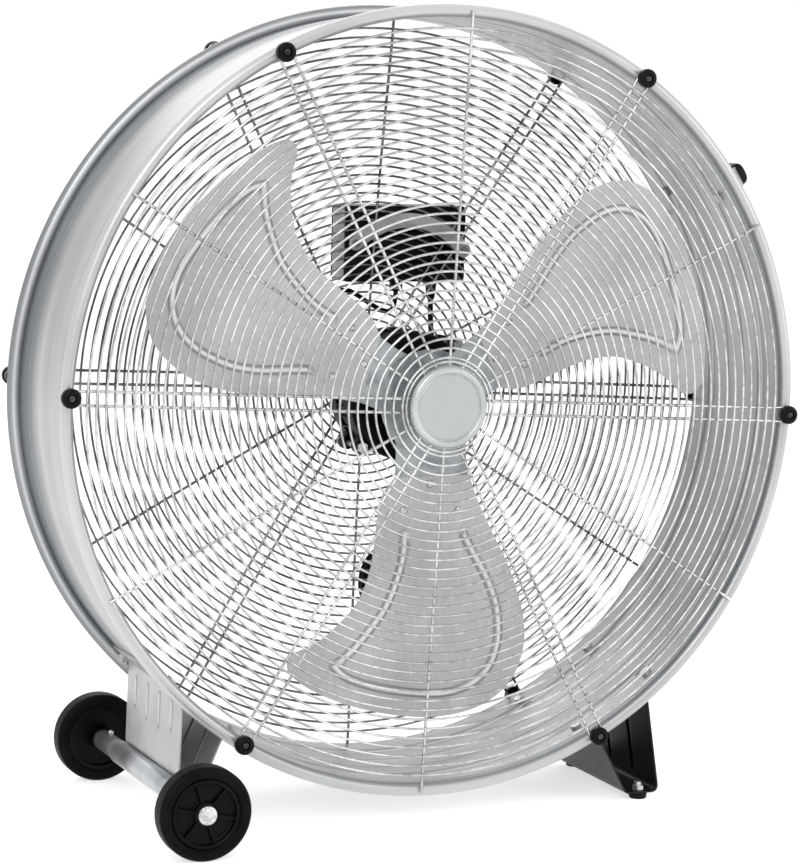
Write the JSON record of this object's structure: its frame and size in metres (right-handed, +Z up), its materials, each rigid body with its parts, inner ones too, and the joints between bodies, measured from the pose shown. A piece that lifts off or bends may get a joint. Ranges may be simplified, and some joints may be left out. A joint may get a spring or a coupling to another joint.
{
  "type": "drum fan",
  "caption": "Portable drum fan: open steel drum with wire guards, leaf blades on a motor, rear control box with speed knob, wheels, rubber feet, handle and mains lead.",
  "frame": {"origin": "on the floor, under the middle of the fan's bounding box, which is under the drum's axis", "axes": "-Y towards the front of the fan, where the blank disc is; +Y to the motor and control box; +X to the handle and rubber feet; -X to the wheels; +Z up"},
  "size_m": [0.9334, 0.4276, 0.955],
  "materials": {
    "galvanised_steel": "galvanised, streaked",
    "guard_wire": "bright plated wire",
    "badge_steel": "satin",
    "black_plastic": "fine grain",
    "fixing_steel": "zinc plated",
    "blade_aluminium": "brushed sheet",
    "spider_steel": "galvanised",
    "machined_steel": "machined",
    "motor_black": "satin black",
    "core_steel": "laminated",
    "winding_copper": "varnished copper wire",
    "box_black": "powder coat",
    "strap_grey": "satin grey",
    "capacitor_white": "gloss",
    "cord_black": "satin",
    "plug_black": "satin moulded",
    "foot_rubber": "matt",
    "bracket_zinc": "zinc plated",
    "bush_plastic": "plain",
    "tyre_black": "smooth rubber",
    "wheel_plastic": "moulded",
    "grip_black": "moulded"
  },
  "bodies": {
    "housing": {"axle_bushes": "bush_plastic", "axle_caps": "fixing_steel", "axle_rod": "machined_steel", "axle_tube": "bracket_zinc", "badge_disc": "badge_steel", "box_cover": "box_black", "box_strap": "strap_grey", "bracket_bolts": "galvanised_steel", "cable_gland": "black_plastic", "control_box": "box_black", "drum_shell": "galvanised_steel", "foot_bolts": "galvanised_steel", "foot_bracket": "box_black", "front_bearing": "machined_steel", "front_guard_knobs": "black_plastic", "front_guard_rings": "guard_wire", "front_guard_screws": "fixing_steel", "front_guard_spokes": "guard_wire", "handle_bolts": "fixing_steel", "handle_bracket": "strap_grey", "handle_grip": "grip_black", "lead_gland": "black_plastic", "lead_tie": "black_plastic", "mains_lead": "cord_black", "mains_lead_coil": "cord_black", "mains_plug": "plug_black", "motor_cable": "cord_black", "motor_front_bell": "motor_black", "motor_mount_bolts": "fixing_steel", "motor_mount_plate": "strap_grey", "motor_rear_bell": "motor_black", "motor_shell": "motor_black", "motor_tie_bolts": "fixing_steel", "rear_bearing": "machined_steel", "rear_guard_knobs": "black_plastic", "rear_guard_rings": "guard_wire", "rear_guard_screws": "fixing_steel", "rear_guard_spokes": "guard_wire", "rotary_switch": "black_plastic", "rubber_feet": "foot_rubber", "run_capacitor": "capacitor_white", "stator_core": "core_steel", "stator_windings": "winding_copper", "strap_screws": "fixing_steel", "wheel_bracket": "bracket_zinc"},
    "rotor": {"blade_1": "blade_aluminium", "blade_2": "blade_aluminium", "blade_3": "blade_aluminium", "blade_spider": "spider_steel", "blade_rivets": "blade_aluminium", "hub_boss": "machined_steel", "hub_bolts": "fixing_steel", "hub_nut": "fixing_steel", "motor_shaft": "machined_steel", "motor_rotor_core": "core_steel"},
    "front_wheel": {"front_wheel_tyre": "tyre_black", "front_wheel_hub": "wheel_plastic"},
    "rear_wheel": {"rear_wheel_tyre": "tyre_black", "rear_wheel_hub": "wheel_plastic"},
    "speed_dial": {"speed_knob": "black_plastic"}
  },
  "joints": [
    {"name": "rotor_spin", "type": "hinge", "parent": "housing", "child": "rotor", "pos_m": [0, 0, 0.492], "axis": [0, 1, 0], "continuous": true},
    {"name": "front_wheel_roll", "type": "hinge", "parent": "housing", "child": "front_wheel", "pos_m": [-0.3183, -0.196, 0.054], "axis": [0, 1, 0], "continuous": true},
    {"name": "rear_wheel_roll", "type": "hinge", "parent": "housing", "child": "rear_wheel", "pos_m": [-0.3183, 0.196, 0.054], "axis": [0, 1, 0], "continuous": true},
    {"name": "speed_turn", "type": "hinge", "parent": "housing", "child": "speed_dial", "pos_m": [0.053, 0.197, 0.664], "axis": [0, -1, 0], "range_deg": [0, 120]}
  ]
}
